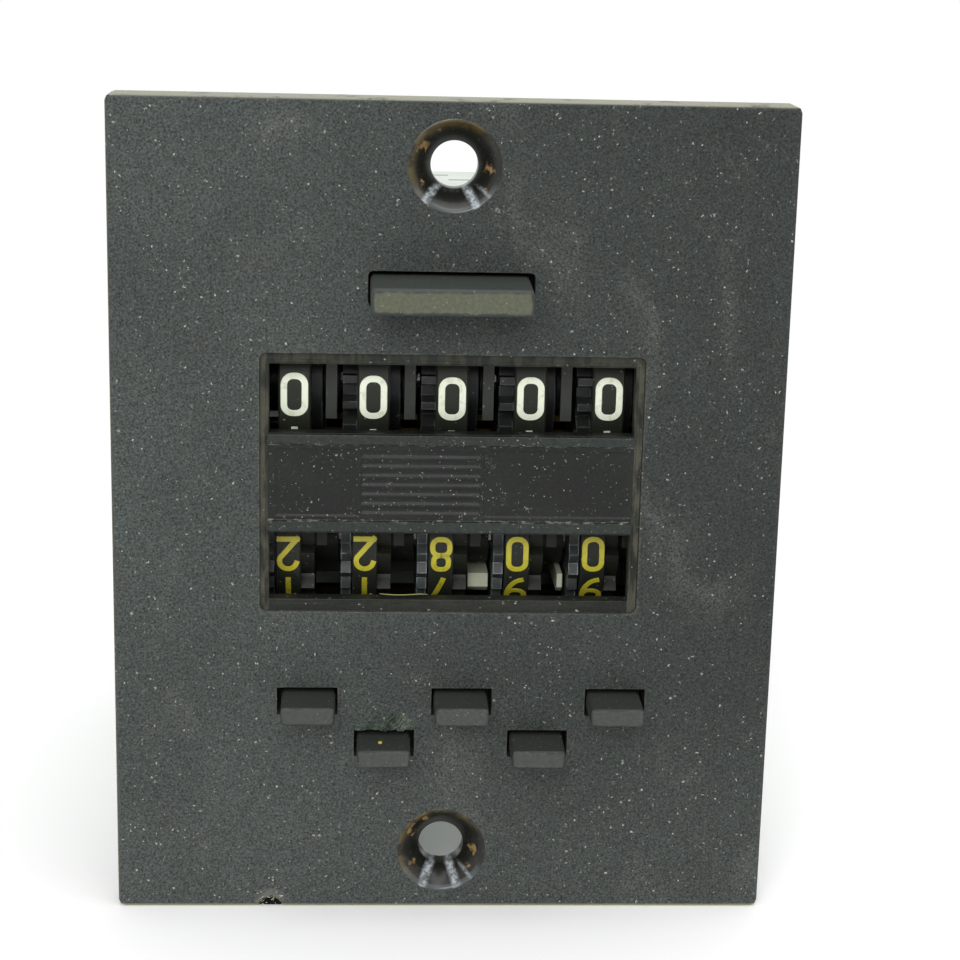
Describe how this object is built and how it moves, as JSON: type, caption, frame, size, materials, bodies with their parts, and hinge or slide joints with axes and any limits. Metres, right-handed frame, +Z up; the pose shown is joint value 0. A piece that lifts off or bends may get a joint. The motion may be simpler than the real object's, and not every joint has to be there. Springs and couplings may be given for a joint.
{
  "type": "panel counter",
  "caption": "Electromechanical panel counter with two rows of digit wheels, push keys, a reset key and a boxed rear housing with blade terminals.",
  "frame": {"origin": "middle of the overall box at the height of the front plate's bottom edge", "axes": "+X to the right as seen from the front, +Y from the front plate to the terminals, +Z up along the plate"},
  "size_m": [0.06, 0.0732, 0.075],
  "materials": {
    "black_plastic": "grained black plastic, worn grey",
    "key_plastic": "satin black plastic",
    "worn_key_plastic": "black plastic rubbed to grey",
    "wheel_plastic": "satin black plastic",
    "grey_plastic": "satin dark grey plastic",
    "cream_plastic": "satin cream plastic",
    "case_plastic": "satin light grey plastic",
    "brown_board": "satin brown laminate",
    "steel": "bright zinc plated",
    "brass": "plain",
    "copper_wire": "enamelled copper wire"
  },
  "bodies": {
    "counter_frame": {"front_plate": "black_plastic", "window_frame": "black_plastic", "detent_comb": "black_plastic", "count_shaft": "steel", "preset_shaft": "steel", "pinion_shaft": "steel", "lever_shaft": "steel", "side_frame_left": "steel", "side_frame_right": "steel", "upper_tie_bar": "steel", "key_guide": "black_plastic", "rear_tie_plate": "steel", "coil_bobbin": "cream_plastic", "coil_winding": "copper_wire", "coil_core": "steel", "yoke": "steel", "switch_body": "black_plastic", "switch_bracket": "steel", "terminal_base": "brown_board", "rear_cover": "case_plastic", "cover_screw_1": "steel", "cover_screw_2": "steel", "reset_spring": "steel", "armature_spring": "steel", "preset_spring_1": "steel", "preset_spring_2": "steel", "preset_spring_3": "steel", "preset_spring_4": "steel", "preset_spring_5": "steel", "terminal_blade_1": "brass", "terminal_blade_2": "brass", "terminal_blade_3": "brass", "terminal_blade_4": "brass", "terminal_blade_5": "brass", "terminal_blade_6": "brass"},
    "reset_key_and_rake": {"reset_key": "worn_key_plastic", "reset_rake": "steel"},
    "preset_key_1": {"preset_key_1": "key_plastic"},
    "preset_key_2": {"preset_key_2": "key_plastic"},
    "preset_key_3": {"preset_key_3": "key_plastic"},
    "preset_key_4": {"preset_key_4": "key_plastic"},
    "preset_key_5": {"preset_key_5": "key_plastic"},
    "count_wheel_1": {"count_wheel_1": "wheel_plastic"},
    "count_wheel_2": {"count_wheel_2": "wheel_plastic"},
    "count_wheel_3": {"count_wheel_3": "wheel_plastic"},
    "count_wheel_4": {"count_wheel_4": "wheel_plastic"},
    "count_wheel_5": {"count_wheel_5": "wheel_plastic"},
    "preset_wheel_1": {"preset_wheel_1": "grey_plastic"},
    "preset_wheel_2": {"preset_wheel_2": "grey_plastic"},
    "preset_wheel_3": {"preset_wheel_3": "grey_plastic"},
    "preset_wheel_4": {"preset_wheel_4": "grey_plastic"},
    "preset_wheel_5": {"preset_wheel_5": "grey_plastic"},
    "transfer_pinion_1": {"transfer_pinion_1": "brass"},
    "transfer_pinion_2": {"transfer_pinion_2": "brass"},
    "transfer_pinion_3": {"transfer_pinion_3": "brass"},
    "transfer_pinion_4": {"transfer_pinion_4": "brass"},
    "armature": {"armature": "steel"},
    "sensing_lever": {"sensing_lever": "cream_plastic"},
    "switch_plunger": {"switch_plunger": "cream_plastic"}
  },
  "joints": [
    {"name": "reset_push", "type": "slide", "parent": "counter_frame", "child": "reset_key_and_rake", "axis": [0, 1, 0], "range_m": [0, 0.0028], "stiffness_N_per_m": 250, "springref_m": -0.002, "deforming": ["reset_spring"]},
    {"name": "preset_key_1_push", "type": "slide", "parent": "counter_frame", "child": "preset_key_1", "axis": [0, 1, 0], "range_m": [0, 0.003], "stiffness_N_per_m": 300, "springref_m": -0.002, "deforming": ["preset_spring_1"]},
    {"name": "preset_key_2_push", "type": "slide", "parent": "counter_frame", "child": "preset_key_2", "axis": [0, 1, 0], "range_m": [0, 0.003], "stiffness_N_per_m": 300, "springref_m": -0.002, "deforming": ["preset_spring_2"]},
    {"name": "preset_key_3_push", "type": "slide", "parent": "counter_frame", "child": "preset_key_3", "axis": [0, 1, 0], "range_m": [0, 0.003], "stiffness_N_per_m": 300, "springref_m": -0.002, "deforming": ["preset_spring_3"]},
    {"name": "preset_key_4_push", "type": "slide", "parent": "counter_frame", "child": "preset_key_4", "axis": [0, 1, 0], "range_m": [0, 0.003], "stiffness_N_per_m": 300, "springref_m": -0.002, "deforming": ["preset_spring_4"]},
    {"name": "preset_key_5_push", "type": "slide", "parent": "counter_frame", "child": "preset_key_5", "axis": [0, 1, 0], "range_m": [0, 0.003], "stiffness_N_per_m": 300, "springref_m": -0.002, "deforming": ["preset_spring_5"]},
    {"name": "count_wheel_1_spin", "type": "hinge", "parent": "counter_frame", "child": "count_wheel_1", "pos_m": [-0.01387, -0.01895, 0.0484], "axis": [1, 0, 0], "continuous": true},
    {"name": "count_wheel_2_spin", "type": "hinge", "parent": "counter_frame", "child": "count_wheel_2", "pos_m": [-0.0068, -0.01895, 0.0484], "axis": [1, 0, 0], "continuous": true},
    {"name": "count_wheel_3_spin", "type": "hinge", "parent": "counter_frame", "child": "count_wheel_3", "pos_m": [0.00027, -0.01895, 0.0484], "axis": [1, 0, 0], "continuous": true},
    {"name": "count_wheel_4_spin", "type": "hinge", "parent": "counter_frame", "child": "count_wheel_4", "pos_m": [0.00734, -0.01895, 0.0484], "axis": [1, 0, 0], "continuous": true},
    {"name": "count_wheel_5_spin", "type": "hinge", "parent": "counter_frame", "child": "count_wheel_5", "pos_m": [0.01441, -0.01895, 0.0484], "axis": [1, 0, 0], "continuous": true},
    {"name": "preset_wheel_1_spin", "type": "hinge", "parent": "counter_frame", "child": "preset_wheel_1", "pos_m": [-0.01446, -0.01895, 0.0331], "axis": [1, 0, 0], "continuous": true},
    {"name": "preset_wheel_2_spin", "type": "hinge", "parent": "counter_frame", "child": "preset_wheel_2", "pos_m": [-0.00742, -0.01895, 0.0331], "axis": [1, 0, 0], "continuous": true},
    {"name": "preset_wheel_3_spin", "type": "hinge", "parent": "counter_frame", "child": "preset_wheel_3", "pos_m": [-0.00038, -0.01895, 0.0331], "axis": [1, 0, 0], "continuous": true},
    {"name": "preset_wheel_4_spin", "type": "hinge", "parent": "counter_frame", "child": "preset_wheel_4", "pos_m": [0.00666, -0.01895, 0.0331], "axis": [1, 0, 0], "continuous": true},
    {"name": "preset_wheel_5_spin", "type": "hinge", "parent": "counter_frame", "child": "preset_wheel_5", "pos_m": [0.0137, -0.01895, 0.0331], "axis": [1, 0, 0], "continuous": true},
    {"name": "transfer_pinion_1_spin", "type": "hinge", "parent": "counter_frame", "child": "transfer_pinion_1", "pos_m": [-0.01037, -0.01109, 0.04289], "axis": [1, 0, 0], "continuous": true},
    {"name": "transfer_pinion_2_spin", "type": "hinge", "parent": "counter_frame", "child": "transfer_pinion_2", "pos_m": [-0.0033, -0.01109, 0.04289], "axis": [1, 0, 0], "continuous": true},
    {"name": "transfer_pinion_3_spin", "type": "hinge", "parent": "counter_frame", "child": "transfer_pinion_3", "pos_m": [0.00377, -0.01109, 0.04289], "axis": [1, 0, 0], "continuous": true},
    {"name": "transfer_pinion_4_spin", "type": "hinge", "parent": "counter_frame", "child": "transfer_pinion_4", "pos_m": [0.01084, -0.01109, 0.04289], "axis": [1, 0, 0], "continuous": true},
    {"name": "armature_rock", "type": "hinge", "parent": "counter_frame", "child": "armature", "pos_m": [-0.008, -0.00265, 0.0544], "axis": [1, 0, 0], "range_deg": [0, 4], "stiffness_Nm_per_rad": 0.02, "springref_deg": -8.59, "deforming": ["armature_spring"]},
    {"name": "sensing_lever_rock", "type": "hinge", "parent": "counter_frame", "child": "sensing_lever", "pos_m": [-0.00038, -0.00835, 0.0295], "axis": [1, 0, 0], "range_deg": [0, 4], "stiffness_Nm_per_rad": 0.0002, "springref_deg": -8.59},
    {"name": "switch_plunger_push", "type": "slide", "parent": "counter_frame", "child": "switch_plunger", "axis": [0, 0, 1], "range_m": [0, 0.0009]}
  ],
  "couplings": [
    {"joint": "transfer_pinion_1_spin", "follows": "count_wheel_2_spin", "ratio": -2.5},
    {"joint": "transfer_pinion_2_spin", "follows": "count_wheel_3_spin", "ratio": -2.5},
    {"joint": "transfer_pinion_3_spin", "follows": "count_wheel_4_spin", "ratio": -2.5},
    {"joint": "transfer_pinion_4_spin", "follows": "count_wheel_5_spin", "ratio": -2.5},
    {"joint": "switch_plunger_push", "follows": "sensing_lever_rock", "m_per_rad": 0.0115}
  ]
}
